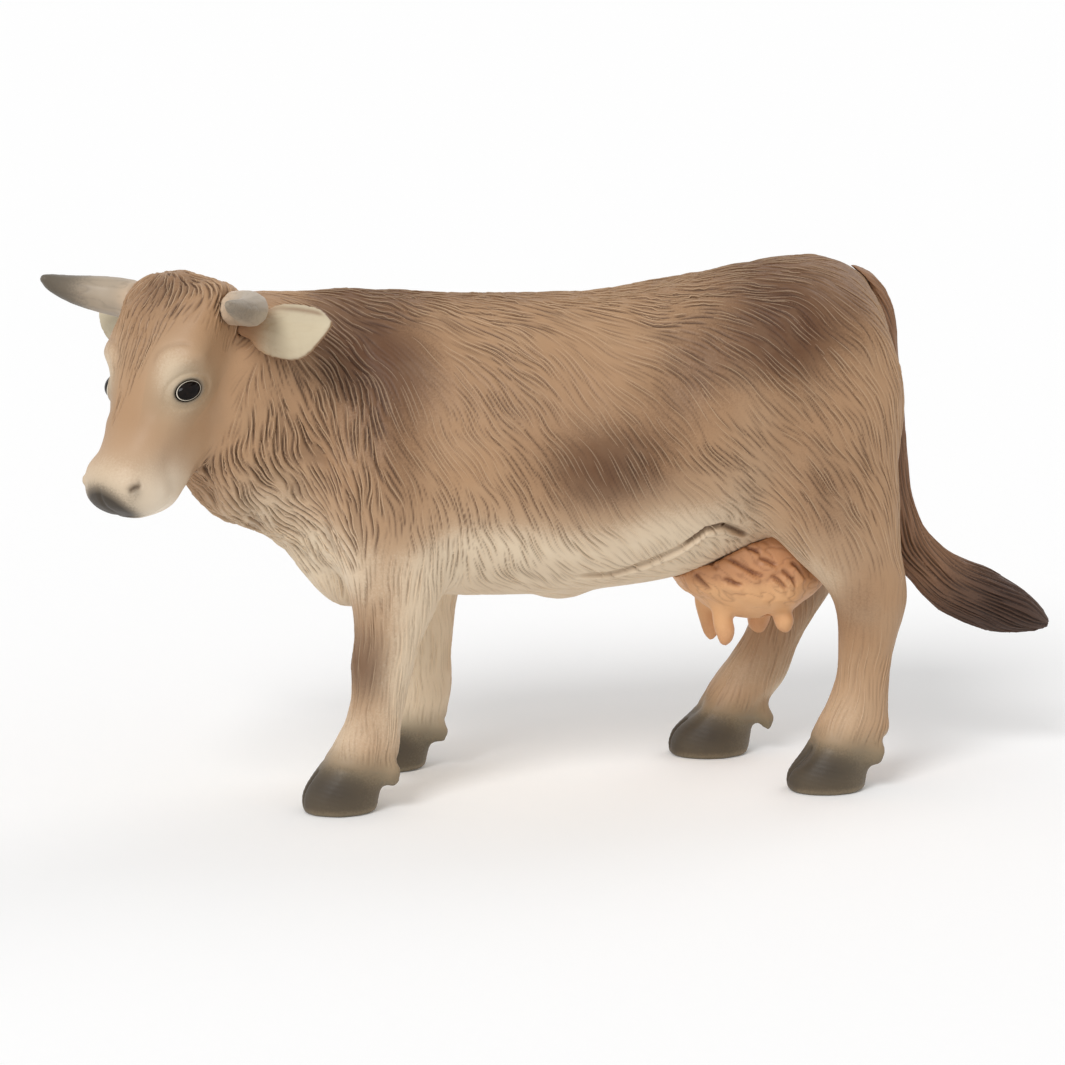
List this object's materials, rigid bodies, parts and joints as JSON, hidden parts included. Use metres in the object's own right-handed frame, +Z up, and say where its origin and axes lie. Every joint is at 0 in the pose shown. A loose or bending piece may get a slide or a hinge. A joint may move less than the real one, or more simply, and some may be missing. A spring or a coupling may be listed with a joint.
{
  "type": "toy cow figure",
  "caption": "Standing toy dairy cow with horns, head turned to its left, udder and swept tail, moulded in pieces bonded by pegs.",
  "frame": {"origin": "middle of the bounding box's footprint, on the ground that the hooves stand on", "axes": "+X from the head towards the tail, +Y to the cow's right, +Z up"},
  "size_m": [0.1416, 0.0484, 0.0746],
  "materials": {
    "hide": "satin painted soft vinyl",
    "tail": "satin painted soft vinyl",
    "udder": "satin painted soft vinyl",
    "horn": "satin painted soft vinyl",
    "ear": "satin painted soft vinyl"
  },
  "bodies": {
    "root": {"torso": "hide", "head_and_neck": "hide", "front_left_leg": "hide", "front_right_leg": "hide", "rear_left_leg": "hide", "rear_right_leg": "hide", "tail": "tail", "udder": "udder", "left_horn": "horn", "right_horn": "horn", "left_ear": "ear", "right_ear": "ear"}
  },
  "joints": []
}
